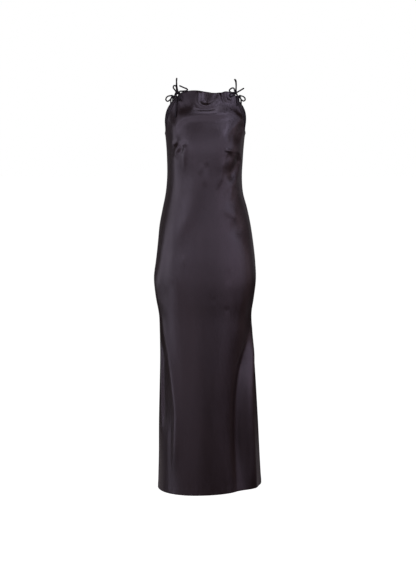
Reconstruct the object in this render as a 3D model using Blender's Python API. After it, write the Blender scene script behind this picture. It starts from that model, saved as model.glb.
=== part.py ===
"""A long satin slip dress, as it is worn: a hollow tube of a front and a back panel, with a high
straight neck, cut-in armholes, corded edges and shoulder straps that are tied in bows.

Units are metres. +Z is up and the front faces -Y. The origin lies midway between the crests of the
two shoulder straps, where a wearer's shoulders carry the dress. Left and right are the wearer's own,
so left is +X. A turn is the angle round the body from the centre front, in degrees, positive to the
left; the side seams lie at 90 and -90 and the centre back at 180.
"""

import math

import bpy
import numpy as np

# ---- Driving dimensions ---------------------------------------------------------------------------
CLOTH_WALL = 0.0015
SEAM_GAP = 0.0003  # between neighbouring pieces
HEM_HEIGHT = -1.350
HEM_LIFT = 0.008  # how much higher the hem hangs at the left side than at the centre
CORD_RADIUS = 0.0023  # straps and ties
EDGE_RADIUS = 0.0015  # the cord sewn along neck and armholes
KNOT_RADIUS = 0.0058
UNDERARM_HEIGHT = -0.177
SHAPED_TO = -0.215  # rows of points follow the cut top edge down to this height

# ---- The body of the tube, a row for each level ---------------------------------------------------
# height, half width to the right and left, depth to the front and back, and how square the
# section is in front and behind (2 is an ellipse).
SECTION_COLUMNS = ("height", "right", "left", "front", "back", "front_square", "back_square")
SECTION_ROWS = (
    (-0.030, 0.1605, 0.1580, 0.0840, 0.0780, 2.20, 2.20),
    (-0.081, 0.1570, 0.1550, 0.0985, 0.0920, 2.20, 2.20),
    (-0.132, 0.1445, 0.1410, 0.1140, 0.1010, 2.30, 2.20),
    (-0.175, 0.1325, 0.1270, 0.1235, 0.1030, 2.45, 2.25),
    (-0.215, 0.1284, 0.1222, 0.1285, 0.1005, 2.55, 2.30),
    (-0.260, 0.1264, 0.1192, 0.1283, 0.0940, 2.50, 2.30),
    (-0.312, 0.1264, 0.1168, 0.1250, 0.0860, 2.35, 2.30),
    (-0.364, 0.1312, 0.1206, 0.1208, 0.0800, 2.25, 2.30),
    (-0.417, 0.1418, 0.1348, 0.1180, 0.0800, 2.20, 2.25),
    (-0.469, 0.1518, 0.1458, 0.1168, 0.0880, 2.20, 2.20),
    (-0.522, 0.1572, 0.1540, 0.1172, 0.1000, 2.25, 2.20),
    (-0.590, 0.1642, 0.1618, 0.1188, 0.1155, 2.30, 2.25),
    (-0.650, 0.1677, 0.1644, 0.1190, 0.1230, 2.30, 2.30),
    (-0.708, 0.1622, 0.1582, 0.1172, 0.1235, 2.30, 2.30),
    (-0.762, 0.1556, 0.1508, 0.1150, 0.1200, 2.30, 2.30),
    (-0.820, 0.1536, 0.1536, 0.1145, 0.1170, 2.25, 2.25),
    (-0.900, 0.1528, 0.1597, 0.1150, 0.1155, 2.20, 2.20),
    (-1.010, 0.1552, 0.1673, 0.1170, 0.1175, 2.15, 2.15),
    (-1.130, 0.1582, 0.1746, 0.1200, 0.1210, 2.10, 2.10),
    (-1.250, 0.1596, 0.1810, 0.1235, 0.1250, 2.10, 2.10),
    (-1.365, 0.1632, 0.1882, 0.1270, 0.1290, 2.10, 2.10),
)

# ---- Broad roundings of the cloth over the body: centre, reach across and up, and height ----------
ROUND_COLUMNS = ("name", "turn", "height", "across", "up", "rise")
ROUND_ROWS = (
    ("right_cup", -29.0, -0.213, 0.038, 0.042, 0.0045),
    ("left_cup", 29.0, -0.215, 0.038, 0.042, 0.0045),
    ("below_right_cup", -24.0, -0.300, 0.040, 0.050, -0.0018),
    ("below_left_cup", 25.0, -0.300, 0.040, 0.050, -0.0018),
    ("right_shoulder_blade", -148.0, -0.135, 0.045, 0.050, 0.0035),
    ("left_shoulder_blade", 148.0, -0.135, 0.045, 0.050, 0.0035),
    ("belly", 0.0, -0.500, 0.060, 0.070, 0.0020),
    ("left_hip_dent", 58.0, -0.470, 0.022, 0.040, -0.0040),
)

# ---- The larger folds: a ridge or trough along a path of turns and heights ------------------------
# Widths and rise are in millimetres. The two widths lie left and right of someone who goes along the
# path on the outside of the cloth. The fades are the shares of the path over which its ends die away.
# A path may run past the hem, so that its fold is still half open where the cloth ends.
FOLD_COLUMNS = ("name", "left_width", "right_width", "rise", "fade_in", "fade_out", "path")
FOLD_ROWS = (
    ("right_front_ridge", 14.0, 8.5, 4.6, 0.20, 0.25,
     ((-69.5, -0.750), (-63.5, -0.795), (-55.5, -0.870), (-48, -0.940), (-41.5, -1.020),
      (-38.5, -1.080), (-38.5, -1.150), (-40, -1.240), (-41, -1.320))),
    ("right_front_trough", 28.0, 6.0, -9.0, 0.12, 0.35,
     ((-82, -0.815), (-77, -0.870), (-73, -0.930), (-70, -0.990), (-67, -1.050), (-64, -1.110),
      (-61, -1.180))),
    ("left_front_trough", 24.0, 12.0, -10.0, 0.25, 0.42,
     ((80, -0.765), (74, -0.800), (66, -0.845), (55, -0.900), (46, -0.950), (41, -1.000),
      (38, -1.060), (37, -1.120), (36.5, -1.180), (36, -1.240), (35.5, -1.300), (35, -1.500))),
    ("left_front_slope", 26.0, 36.0, -13.0, 0.30, 0.42,
     ((70, -0.700), (62, -0.800), (50, -0.900), (43, -0.980), (39, -1.060), (37.5, -1.140),
      (37.5, -1.220), (37.5, -1.300), (37.5, -1.500))),
    ("left_front_ridge", 12.0, 22.0, 9.0, 0.20, 0.20,
     ((86, -0.785), (80, -0.830), (74, -0.885), (68, -0.940), (63, -1.000), (61, -1.070),
      (60, -1.140), (60, -1.220), (60, -1.420))),
    ("right_hip_hollow", 24.0, 20.0, -4.5, 0.35, 0.30,
     ((-44, -0.460), (-48, -0.560), (-52, -0.660), (-52, -0.760))),
    ("right_thigh_ridge", 20.0, 11.0, 5.0, 0.35, 0.25,
     ((-80, -0.560), (-80, -0.640), (-79, -0.720), (-76, -0.800))),
    ("right_back_ridge", 16.0, 14.0, 7.0, 0.30, 0.30,
     ((-104, -0.740), (-112, -0.860), (-118, -0.980), (-123, -1.110), (-127, -1.230), (-130, -1.330))),
    ("right_back_trough", 18.0, 16.0, -13.0, 0.30, 0.30,
     ((-112, -0.730), (-124, -0.860), (-132, -0.980), (-139, -1.110), (-144, -1.230), (-148, -1.330))),
    ("left_back_ridge", 14.0, 16.0, 7.0, 0.30, 0.30,
     ((104, -0.740), (111, -0.860), (117, -0.980), (121, -1.110), (124, -1.230), (125, -1.330))),
    ("left_back_trough", 16.0, 18.0, -12.0, 0.30, 0.30,
     ((111, -0.730), (123, -0.860), (131, -0.980), (137, -1.110), (140, -1.230), (142, -1.330))),
    ("centre_back_trough", 24.0, 24.0, -5.0, 0.40, 0.30,
     ((176, -0.760), (177, -0.900), (178, -1.050), (179, -1.200), (180, -1.340))),
    ("chest_arch", 16.0, 9.0, 5.6, 0.25, 0.35,
     ((-47.0, -0.203), (-44.0, -0.181), (-38.5, -0.161), (-31.0, -0.144), (-21.0, -0.131),
      (-8.0, -0.122), (6.0, -0.117), (20.0, -0.111), (34.0, -0.106), (45.0, -0.109))),
    ("left_arm_ridge", 11.0, 22.0, 5.0, 0.12, 0.35,
     ((49.0, -0.112), (44.5, -0.128), (37.5, -0.143), (29.0, -0.158), (23.5, -0.178), (24.5, -0.200),
      (29.0, -0.219))),
    ("right_waist_slope", 12.0, 34.0, 5.0, 0.25, 0.60,
     ((-13.0, -0.225), (-12.0, -0.280), (-13.5, -0.350), (-21.0, -0.420), (-35.0, -0.500),
      (-48.0, -0.610), (-58.0, -0.730))),
    ("left_waist_hollow", 14.0, 13.0, -6.0, 0.25, 0.35,
     ((66.0, -0.242), (58.0, -0.261), (50.0, -0.282), (42.0, -0.305), (34.0, -0.330))),
    ("left_waist_ridge", 12.0, 9.0, 3.2, 0.30, 0.40,
     ((62.0, -0.304), (52.0, -0.314), (43.0, -0.332), (35.0, -0.354), (28.0, -0.380))),
    ("lower_back_fold", 14.0, 14.0, -3.5, 0.40, 0.40,
     ((168, -0.300), (166, -0.370), (163, -0.430), (160, -0.500))),
)
FOLD_SAMPLES = 64

# ---- The cut top edges, as turns and heights ------------------------------------------------------
EDGE_COLUMNS = ("turn", "height")
FRONT_EDGE_ROWS = (
    (-90.0, -0.1770), (-78.0, -0.1715), (-68.0, -0.1600), (-58.0, -0.1380), (-51.5, -0.1200),
    (-44.0, -0.1000), (-37.0, -0.0780), (-32.0, -0.0600), (-30.0, -0.0500),
    (-24.0, -0.0435), (-17.0, -0.0405), (-10.0, -0.0398), (0.0, -0.0435), (8.0, -0.0480),
    (15.0, -0.0465), (22.0, -0.0430), (28.0, -0.0455), (33.0, -0.0510),
    (34.8, -0.0610), (38.5, -0.0780), (44.0, -0.1000), (51.5, -0.1200), (58.0, -0.1380),
    (68.0, -0.1600), (78.0, -0.1715), (90.0, -0.1770),
)
FRONT_CORNERS = (-30.0, 33.0)
BACK_EDGE_ROWS = (
    (90.0, -0.1770), (101.0, -0.1705), (108.0, -0.1560), (114.0, -0.1340), (121.5, -0.1110),
    (131.0, -0.0880), (137.0, -0.0750), (142.0, -0.0630),
    (160.0, -0.0605), (180.0, -0.0615), (200.0, -0.0605), (218.0, -0.0630),
    (223.0, -0.0750), (229.0, -0.0880), (238.5, -0.1110), (246.0, -0.1340), (252.0, -0.1560),
    (259.0, -0.1705), (270.0, -0.1770),
)
BACK_CORNERS = (142.0, 218.0)

ARMHOLE_COLUMNS = 10  # columns of points from a corner to the side seam
NECK_COLUMNS = 16  # and between the corners
SHAPED_ROWS = 12  # rows of points from the top edge to SHAPED_TO
HANGING_ROWS = 28  # and from there to the hem

# ---- Ties: routes chosen by hand, in millimetres from the knot ------------------------------------
# Each point gives how far to the left, how far out from the cloth and how far up it lies. A loop
# leaves and returns to its knot in the two directions given; a tail leaves in one and ends free.
STRAND_COLUMNS = ("name", "leaves", "route", "returns")
RIGHT_FRONT_STRANDS = (
    ("loop_out", (-0.88, 0.10, 0.46),
     ((-11.4, 2.0, 9.4), (-15.6, 2.0, 16.0), (-14.2, 2.0, 21.2), (-9.4, 2.4, 22.0),
      (-5.6, 3.4, 17.0)), (-0.25, 0.50, 0.83)),
    ("loop_down", (0.45, 0.87, 0.20),
     ((4.4, 12.6, -5.0), (4.8, 14.6, -13.0), (4.2, 13.6, -21.0), (3.0, 9.6, -25.0),
      (2.2, 6.4, -20.0), (1.8, 5.2, -12.0)), (0.20, 0.66, -0.72)),
    ("tail_in", (0.82, 0.15, 0.55),
     ((11.0, 4.2, 4.4), (18.5, 4.6, 5.0), (25.0, 4.4, 5.8), (29.4, 3.0, 8.6),
      (26.4, 1.4, 12.4), (20.0, 0.6, 14.6), (12.6, 0.4, 18.0), (3.6, 0.6, 21.8)), None),
    ("tail_down", (-0.60, 0.65, -0.46),
     ((-6.0, 5.0, -9.0), (-5.6, 5.2, -19.0), (-5.6, 5.2, -33.0), (-6.8, 5.2, -50.0),
      (-9.4, 5.4, -76.0)), None),
)
LEFT_FRONT_STRANDS = (
    ("loop_in", (-0.68, 0.72, 0.15),
     ((-9.5, 5.6, 0.6), (-15.0, 4.4, -2.2), (-17.6, 3.8, -7.0), (-14.2, 4.0, -11.0),
      (-8.4, 5.0, -9.0)), (-0.20, 0.85, -0.50)),
    ("loop_up", (-0.75, -0.65, 0.10),
     ((-10.5, -5.6, 1.4), (-16.6, -5.6, 3.6), (-19.2, -4.0, 7.8), (-16.0, -1.4, 12.0),
      (-10.4, 0.8, 15.4), (-5.4, 2.6, 14.8)), (-0.35, 0.35, 0.87)),
    ("tail_out", (0.88, 0.25, 0.40),
     ((9.0, 5.4, 4.4), (14.0, 9.8, 7.2), (19.6, 15.0, 10.4), (26.2, 20.8, 14.4)), None),
    ("tail_down", (0.60, 0.60, -0.53),
     ((5.6, 4.8, -10.0), (5.8, 4.2, -18.0), (6.6, 3.6, -28.0), (8.2, 3.4, -40.0)), None),
)
RIGHT_BACK_STRANDS = (
    ("loop_out", (-0.75, 0.10, 0.65),
     ((-11.4, 1.4, 4.6), (-18.4, 1.6, 3.2), (-25.0, 1.6, -2.2), (-26.4, 1.4, -9.2),
      (-21.4, 1.4, -13.4), (-14.0, 1.6, -9.6)), (-0.93, 0.20, -0.30)),
    ("loop_in", (0.70, 0.60, 0.38),
     ((10.0, 6.4, 1.8), (16.6, 4.8, -1.6), (20.0, 3.6, -7.6), (17.0, 3.8, -13.0),
      (10.0, 5.6, -11.4)), (0.25, 0.90, -0.36)),
    ("tail_long", (-0.45, 0.60, -0.66),
     ((-4.4, 4.8, -12.0), (-4.4, 4.0, -21.0), (-3.4, 4.0, -34.0), (-2.0, 4.6, -52.0),
      (-1.2, 4.8, -66.0), (-0.6, 4.8, -80.0)), None),
    ("tail_short", (-0.45, 0.75, 0.48),
     ((-6.4, 8.8, 2.4), (-9.6, 9.4, -4.6), (-10.8, 7.2, -15.0), (-10.8, 4.6, -28.0),
      (-10.2, 4.4, -43.0), (-10.4, 4.4, -58.0)), None),
)
LEFT_BACK_STRANDS = (
    ("loop_out", (0.75, 0.10, 0.65),
     ((11.0, 1.4, 4.0), (17.4, 1.6, 2.2), (23.2, 1.6, -2.6), (24.4, 1.4, -8.8),
      (19.8, 1.4, -12.6), (13.2, 1.6, -9.2)), (0.93, 0.20, -0.30)),
    ("loop_in", (-0.70, 0.60, 0.38),
     ((-10.2, 6.4, 2.0), (-17.4, 4.8, -1.0), (-21.0, 3.6, -7.0), (-18.0, 3.8, -12.6),
      (-10.4, 5.6, -11.4)), (-0.25, 0.90, -0.36)),
    ("tail_long", (0.45, 0.60, -0.66),
     ((4.4, 4.8, -12.0), (4.2, 4.0, -21.0), (2.8, 4.0, -34.0), (1.4, 4.6, -50.0),
      (0.6, 4.8, -62.0), (-0.8, 4.8, -74.0)), None),
    ("tail_short", (0.45, 0.75, 0.48),
     ((6.6, 8.8, 2.6), (10.0, 9.4, -4.2), (11.4, 7.2, -14.0), (11.6, 4.6, -26.0),
      (11.8, 4.4, -40.0), (12.6, 4.4, -53.0)), None),
)
TIE_REACH = 0.104  # outboard of this the ties hang level with the cloth here, not round its side

# Where each strap runs between its two knots, over the shoulder.
RIGHT_STRAP_ROUTE = (
    (-0.0915, -0.0640, -0.0290), (-0.0932, -0.0470, -0.0140), (-0.0942, -0.0250, -0.0025),
    (-0.0938, 0.0000, 0.0015), (-0.0950, 0.0230, -0.0045), (-0.0962, 0.0430, -0.0185),
    (-0.0974, 0.0590, -0.0390),
)
LEFT_STRAP_ROUTE = (
    (0.0952, -0.0640, -0.0310), (0.0960, -0.0470, -0.0175), (0.0956, -0.0250, -0.0060),
    (0.0925, 0.0000, -0.0020), (0.0962, 0.0230, -0.0085), (0.0980, 0.0430, -0.0220),
    (0.0988, 0.0590, -0.0410),
)

# ---- Satin ----------------------------------------------------------------------------------------
SATIN_COLOUR = (0.030, 0.024, 0.031, 1.0)
SATIN_ROUGHNESS = 0.38
CORD_COLOUR = (0.024, 0.020, 0.024, 1.0)
CORD_ROUGHNESS = 0.45

MILLIMETRE = 0.001
METRES_A_DEGREE = 0.0024  # round the body, near enough to share out a path


def named_columns(names, rows):
    """A table's columns by name, each as an array or, for words, a list."""
    columns = {}
    for index, name in enumerate(names):
        values = [row[index] for row in rows]
        columns[name] = values if isinstance(values[0], str) else np.array(values, float)
    return columns


def smooth_curve(at, knots, values):
    """A smooth curve through the values at rising knots, read at any places."""
    slopes = np.gradient(values, knots, axis=0)
    index = np.clip(np.searchsorted(knots, at) - 1, 0, len(knots) - 2)
    step = knots[index + 1] - knots[index]
    share = (at - knots[index]) / step
    if values.ndim > 1:
        share, step = share[:, None], step[:, None]
    rest = 1 - share
    return (
        values[index] * rest * rest * (1 + 2 * share)
        + values[index + 1] * share * share * (1 + 2 * rest)
        + slopes[index] * step * share * rest * rest
        - slopes[index + 1] * step * share * share * rest
    )


def smooth_step(values):
    """0 to 1 with level ends."""
    values = np.clip(values, 0.0, 1.0)
    return values * values * (3 - 2 * values)


SECTIONS = named_columns(SECTION_COLUMNS, SECTION_ROWS)
ROUNDS = [dict(zip(ROUND_COLUMNS, row)) for row in ROUND_ROWS]


def section_at(name, heights):
    """A column of the section table at any heights."""
    return smooth_curve(-heights, -SECTIONS["height"], SECTIONS[name])


def turn_between(turns, other):
    """The shortest way round from one turn to another, in degrees."""
    return (turns - other + 180.0) % 360.0 - 180.0


def plain_tube(turns, heights):
    """Points of the tube with no folds on it."""
    angle = np.radians(turns)
    sine, cosine = np.sin(angle), np.cos(angle)
    forward = smooth_step(cosine * 2.0 + 0.5)
    square = (
        section_at("front_square", heights) * forward
        + section_at("back_square", heights) * (1 - forward)
    )
    half_width = np.where(sine > 0, section_at("left", heights), section_at("right", heights))
    depth = np.where(cosine > 0, section_at("front", heights), section_at("back", heights))
    power = 2.0 / square
    across = half_width * np.sign(sine) * np.abs(sine) ** power
    back = -depth * np.sign(cosine) * np.abs(cosine) ** power
    return np.stack([across, back, heights], axis=-1)


def radius_at(heights):
    """A mean radius of the tube, which turns a difference of angle into a distance."""
    return (section_at("left", heights) + section_at("front", heights)) / 2


def fold_from(row):
    """A row of the table, with its path as close points and how far along it each lies."""
    fold = dict(zip(FOLD_COLUMNS, row))
    path = np.array(fold["path"], float)
    steps = np.diff(path, axis=0) * np.array([METRES_A_DEGREE, 1.0])
    lengths = np.concatenate([[0.0], np.cumsum(np.linalg.norm(steps, axis=1))])
    at = np.linspace(0.0, lengths[-1], FOLD_SAMPLES)
    fold["points"] = smooth_curve(at, lengths, path)
    fold["along"] = at / lengths[-1]
    return fold


FOLDS = [fold_from(row) for row in FOLD_ROWS]


def fold_relief(fold, turns, heights, radius):
    """How far one fold moves the cloth outwards at each place."""
    turn, height = fold["points"].T
    across = np.radians(turn_between(turns[..., None], turn)) * radius[..., None]
    upward = heights[..., None] - height
    nearest = (across**2 + upward**2).argmin(-1)
    across = np.take_along_axis(across, nearest[..., None], -1)[..., 0]
    upward = np.take_along_axis(upward, nearest[..., None], -1)[..., 0]
    ahead = np.radians(np.gradient(turn))[nearest] * radius
    rising = np.gradient(height)[nearest]
    side = (ahead * upward - rising * across) / np.hypot(ahead, rising)
    blend = max(fold["left_width"], fold["right_width"]) * MILLIMETRE / 2
    share = smooth_step(side / blend + 0.5)
    width = (fold["left_width"] * share + fold["right_width"] * (1 - share)) * MILLIMETRE
    along = fold["along"][nearest]
    fade = smooth_step(along / fold["fade_in"]) * smooth_step((1 - along) / fold["fade_out"])
    rise = fold["rise"] * MILLIMETRE * fade
    return rise * np.exp(-(across**2 + upward**2) / (2 * width**2))


def relief(turns, heights):
    """How far the roundings and folds move the cloth outwards."""
    turns, heights = np.broadcast_arrays(turns, heights)
    radius = radius_at(heights)
    total = np.zeros(turns.shape)
    for item in ROUNDS:
        across = np.radians(turn_between(turns, item["turn"])) * radius / item["across"]
        upward = (heights - item["height"]) / item["up"]
        total += item["rise"] * np.exp(-(across**2 + upward**2) / 2)
    for fold in FOLDS:
        total += fold_relief(fold, turns, heights, radius)
    return total


def outward(turns, heights):
    """Unit vectors that point out of the plain tube."""
    small_turn, small_height = 0.05, 0.0005
    round_it = plain_tube(turns + small_turn, heights) - plain_tube(turns - small_turn, heights)
    up_it = plain_tube(turns, heights + small_height) - plain_tube(turns, heights - small_height)
    normal = np.cross(round_it, up_it)
    return normal / np.linalg.norm(normal, axis=-1, keepdims=True)


def cloth_face(turns, heights):
    """Points of the outer face of the cloth, folds and all."""
    return plain_tube(turns, heights) + outward(turns, heights) * relief(turns, heights)[..., None]


def cloth_normal(turns, heights):
    """Unit vectors that point out of the folded cloth."""
    small_turn, small_height = 0.05, 0.0005
    round_it = cloth_face(turns + small_turn, heights) - cloth_face(turns - small_turn, heights)
    up_it = cloth_face(turns, heights + small_height) - cloth_face(turns, heights - small_height)
    normal = np.cross(round_it, up_it)
    return normal / np.linalg.norm(normal, axis=-1, keepdims=True)


def hem_height(turns):
    """The hem's height round the dress."""
    return HEM_HEIGHT + HEM_LIFT * np.sin(np.radians(turns))


def panel_turns(edge_rows, corners):
    """The turns of a panel's columns: even in the armholes and between the corners."""
    first, last = edge_rows[0][0], edge_rows[-1][0]
    seam = math.degrees(SEAM_GAP / 2 / radius_at(np.array([HEM_HEIGHT]))[0])
    return np.concatenate([
        np.linspace(first + seam, corners[0], ARMHOLE_COLUMNS + 1)[:-1],
        np.linspace(corners[0], corners[1], NECK_COLUMNS + 1),
        np.linspace(corners[1], last - seam, ARMHOLE_COLUMNS + 1)[1:],
    ])


def edge_heights(turns, edge_rows, corners):
    """The cut edge's height at each turn: smooth along each armhole and along the neck."""
    table = named_columns(EDGE_COLUMNS, edge_rows)
    heights = np.empty_like(turns)
    stretches = (
        (turns <= corners[0], table["turn"] <= corners[0]),
        ((turns >= corners[0]) & (turns <= corners[1]),
         (table["turn"] >= corners[0]) & (table["turn"] <= corners[1])),
        (turns >= corners[1], table["turn"] >= corners[1]),
    )
    for here, rows in stretches:
        heights[here] = smooth_curve(turns[here], table["turn"][rows], table["height"][rows])
    return heights


def panel_grid(edge_rows, corners):
    """Turns and heights of a panel's points, a row for each level from the top edge to the hem."""
    turns = panel_turns(edge_rows, corners)
    even = np.linspace(turns[0], turns[-1], len(turns))
    top = edge_heights(turns, edge_rows, corners)
    rows = []
    for step in np.linspace(0.0, 1.0, SHAPED_ROWS, endpoint=False):
        rows.append((turns, top + (SHAPED_TO - top) * step))
    for step in np.linspace(0.0, 1.0, HANGING_ROWS + 1):
        share = step * (0.72 + 0.28 * step)  # closer rows near the bust
        level_turns = turns + (even - turns) * smooth_step(step * 2.5)
        rows.append((level_turns, SHAPED_TO + (hem_height(level_turns) - SHAPED_TO) * share))
    return np.array([row[0] for row in rows]), np.array([row[1] for row in rows])


def material(name, colour, roughness):
    """A cloth material."""
    made = bpy.data.materials.new(name)
    made.use_nodes = True
    shader = made.node_tree.nodes["Principled BSDF"]
    shader.inputs["Base Color"].default_value = colour
    shader.inputs["Roughness"].default_value = roughness
    shader.inputs["Metallic"].default_value = 0.0
    return made


def add_object(name, data, finish):
    """A named object with its material, linked into the scene."""
    data.materials.append(finish)
    made = bpy.data.objects.new(name, data)
    bpy.context.scene.collection.objects.link(made)
    return made


def add_panel(name, edge_rows, corners, finish):
    """A panel of cloth: a grid of points outside, the same moved in by the wall, and rims."""
    turns, heights = panel_grid(edge_rows, corners)
    outer = cloth_face(turns, heights)
    inner = outer - cloth_normal(turns, heights) * CLOTH_WALL
    row_count, column_count = turns.shape
    inside = row_count * column_count

    def point(row, column, layer):
        return layer * inside + row * column_count + column

    faces = []
    for row in range(row_count - 1):
        for column in range(column_count - 1):
            square = ((row, column), (row + 1, column), (row + 1, column + 1), (row, column + 1))
            faces.append([point(r, c, 0) for r, c in square])
            faces.append([point(r, c, 1) for r, c in reversed(square)])
    rim = [(0, column) for column in range(column_count)]
    rim += [(row, column_count - 1) for row in range(1, row_count)]
    rim += [(row_count - 1, column) for column in range(column_count - 2, -1, -1)]
    rim += [(row, 0) for row in range(row_count - 2, 0, -1)]
    for here, after in zip(rim, rim[1:] + rim[:1]):
        faces.append([point(*here, 0), point(*after, 0), point(*after, 1), point(*here, 1)])
    mesh = bpy.data.meshes.new(name)
    mesh.from_pydata(np.concatenate([outer.reshape(-1, 3), inner.reshape(-1, 3)]).tolist(), [], faces)
    mesh.shade_smooth()
    mesh.set_sharp_from_angle(angle=math.radians(50))
    return add_object(name, mesh, finish)


def add_tube(name, points, radius, finish):
    """A round cord along points, with closed ends."""
    curve = bpy.data.curves.new(name, "CURVE")
    curve.dimensions = "3D"
    curve.bevel_depth = radius
    curve.bevel_resolution = 2
    curve.use_fill_caps = True
    spline = curve.splines.new("POLY")
    spline.points.add(len(points) - 1)
    for place, point in zip(spline.points, points):
        place.co = (*point, 1.0)
    return add_object(name, curve, finish)


def smooth_route(points, spacing):
    """Points about a spacing apart on a smooth curve through a route."""
    points = np.array(points, float)
    lengths = np.concatenate([[0.0], np.cumsum(np.linalg.norm(np.diff(points, axis=0), axis=1))])
    count = max(3, round(lengths[-1] / spacing) + 1)
    return smooth_curve(np.linspace(0.0, lengths[-1], count), lengths, points)


def edge_line(turns, heights):
    """A line that runs along a cut edge, just clear of it."""
    face, normal = cloth_face(turns, heights), cloth_normal(turns, heights)
    along = np.gradient(face, axis=0)
    along /= np.linalg.norm(along, axis=1, keepdims=True)
    off_the_cloth = np.cross(normal, along)
    off_the_cloth *= np.sign(off_the_cloth[:, 2:3])
    clear = EDGE_RADIUS + 1.5 * SEAM_GAP
    return face - normal * CLOTH_WALL / 2 + off_the_cloth * clear


def knot_place(turn, edge_rows, corners):
    """The middle of the knot at a corner, up and out from the cut corner."""
    turns = np.array([turn])
    heights = edge_heights(turns, edge_rows, corners)
    corner = (cloth_face(turns, heights) - cloth_normal(turns, heights) * CLOTH_WALL / 2)[0]
    outboard = math.copysign(1.0, corner[0])
    direction = np.array([outboard * 0.45, 0.0, 0.89])
    return corner + direction / np.linalg.norm(direction) * (KNOT_RADIUS + 2 * SEAM_GAP)


def clear_of_knots(line, radius, knots):
    """The line without the ends that would enter a knot, cut just clear of it."""
    dense = smooth_route(line, 0.0002)
    reach = KNOT_RADIUS + 2.5 * SEAM_GAP + 0.2 * radius
    distance = np.min([np.linalg.norm(dense - knot, axis=1) for knot in knots], axis=0)
    kept = np.flatnonzero(distance > reach)
    ends = dense[kept[0]], dense[kept[-1]]
    inner = [p for p in line if min(np.linalg.norm(p - knot) for knot in knots) > reach + 2 * radius]
    return np.array([ends[0], *inner, ends[1]])


def add_edge_cords(front, back, knots, finish):
    """The cords sewn along the two necks and round the two armholes."""
    front_neck = front["neck"]
    add_tube("front_neck_cord", clear_of_knots(front_neck, EDGE_RADIUS,
             [knots["right_front"], knots["left_front"]]), EDGE_RADIUS, finish)
    add_tube("back_neck_cord", clear_of_knots(back["neck"], EDGE_RADIUS,
             [knots["right_back"], knots["left_back"]]), EDGE_RADIUS, finish)
    for side in ("right", "left"):
        line = np.concatenate([front[side], back[side]])
        ends = [knots[side + "_front"], knots[side + "_back"]]
        add_tube(side + "_armhole_cord", clear_of_knots(line, EDGE_RADIUS, ends), EDGE_RADIUS, finish)


def panel_edge_lines(edge_rows, corners, right_first):
    """The cord lines along a panel's neck and along its two armholes, each from its corner down."""
    turns = panel_turns(edge_rows, corners)
    heights = edge_heights(turns, edge_rows, corners)
    low = turns <= corners[0] + 1e-9
    neck = (turns >= corners[0] - 1e-9) & (turns <= corners[1] + 1e-9)
    high = turns >= corners[1] - 1e-9
    first, last = edge_line(turns[low], heights[low])[::-1], edge_line(turns[high], heights[high])
    names = ("right", "left") if right_first else ("left", "right")
    return {"neck": edge_line(turns[neck], heights[neck]), names[0]: first, names[1]: last}


def add_knot(name, middle, finish):
    """A knot: a round lump a little flatter than it is wide."""
    mesh = bpy.data.meshes.new(name)
    rings, segments = 7, 10
    points = [(0.0, 0.0, 1.0)]
    for ring in range(1, rings):
        polar = math.pi * ring / rings
        for segment in range(segments):
            turn = 2 * math.pi * segment / segments
            points.append((math.sin(polar) * math.cos(turn), math.sin(polar) * math.sin(turn),
                           math.cos(polar)))
    points.append((0.0, 0.0, -1.0))
    last = len(points) - 1
    faces = []
    for segment in range(segments):
        after = (segment + 1) % segments
        faces.append((0, 1 + segment, 1 + after))
        for ring in range(rings - 2):
            here = 1 + ring * segments
            below = here + segments
            faces.append((here + segment, below + segment, below + after, here + after))
        foot = 1 + (rings - 2) * segments
        faces.append((last, foot + after, foot + segment))
    mesh.from_pydata((np.array(points) * KNOT_RADIUS).tolist(), [], faces)
    mesh.shade_smooth()
    made = add_object(name, mesh, finish)
    made.location = middle
    return made


def cloth_depth(across, height, behind):
    """How far back the cloth's outer face lies at a place across the front or the back."""
    half_width = section_at("left" if across > 0 else "right", np.array([height]))[0]
    square = section_at("back_square" if behind else "front_square", np.array([height]))[0]
    turn = math.degrees(math.asin((abs(across) / half_width) ** (square / 2)))
    turn = math.copysign(180.0 - turn if behind else turn, across)
    return cloth_face(np.array([turn]), np.array([height]))[0][1]


def hung_point(knot, offset):
    """A point of a tie, from how far left, out from the cloth and up from the knot it lies."""
    across, out, up = np.array(offset) * MILLIMETRE
    behind = knot[1] > 0
    height = knot[2] + up
    reached = max(-TIE_REACH, min(TIE_REACH, knot[0] + across))
    depth = cloth_depth(reached, height, behind)
    return np.array([knot[0] + across, depth + out if behind else depth - out, height])


def strand_points(knot, strand):
    """A loop's or tail's line, square to the knot where it leaves it."""
    outwards = 1.0 if knot[1] > 0 else -1.0
    ends = []
    for across, out, up in filter(None, (strand["leaves"], strand["returns"])):
        direction = np.array([across, out * outwards, up])
        direction /= np.linalg.norm(direction)
        near = KNOT_RADIUS + 2 * SEAM_GAP
        ends.append((knot + direction * near, knot + direction * (near + CORD_RADIUS)))
    route = [hung_point(knot, offset) for offset in strand["route"]]
    middle = smooth_route([ends[0][1], *route, *[end[1] for end in ends[1:]]], 2.2 * CORD_RADIUS)
    return [ends[0][0], *middle, *[end[0] for end in ends[1:]]]


def add_bow(name, knot, strands, finish):
    """A knot and the loops and tails that come out of it."""
    add_knot(name + "_knot", knot, finish)
    for row in strands:
        strand = dict(zip(STRAND_COLUMNS, row))
        add_tube(name + "_" + strand["name"], strand_points(knot, strand), CORD_RADIUS, finish)


def strap_line(front_knot, route, back_knot):
    """A strap's line from the top of its front knot, over the shoulder, to its back knot."""
    near = KNOT_RADIUS + 2 * SEAM_GAP
    points = smooth_route(route, 5 * CORD_RADIUS)
    leaving, arriving = points[0] - front_knot, points[-1] - back_knot
    start = front_knot + leaving / np.linalg.norm(leaving) * near
    end = back_knot + arriving / np.linalg.norm(arriving) * near
    return [start, *points, end]


def clear_scene():
    """Removes whatever objects the scene holds."""
    for existing in list(bpy.data.objects):
        bpy.data.objects.remove(existing)


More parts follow.
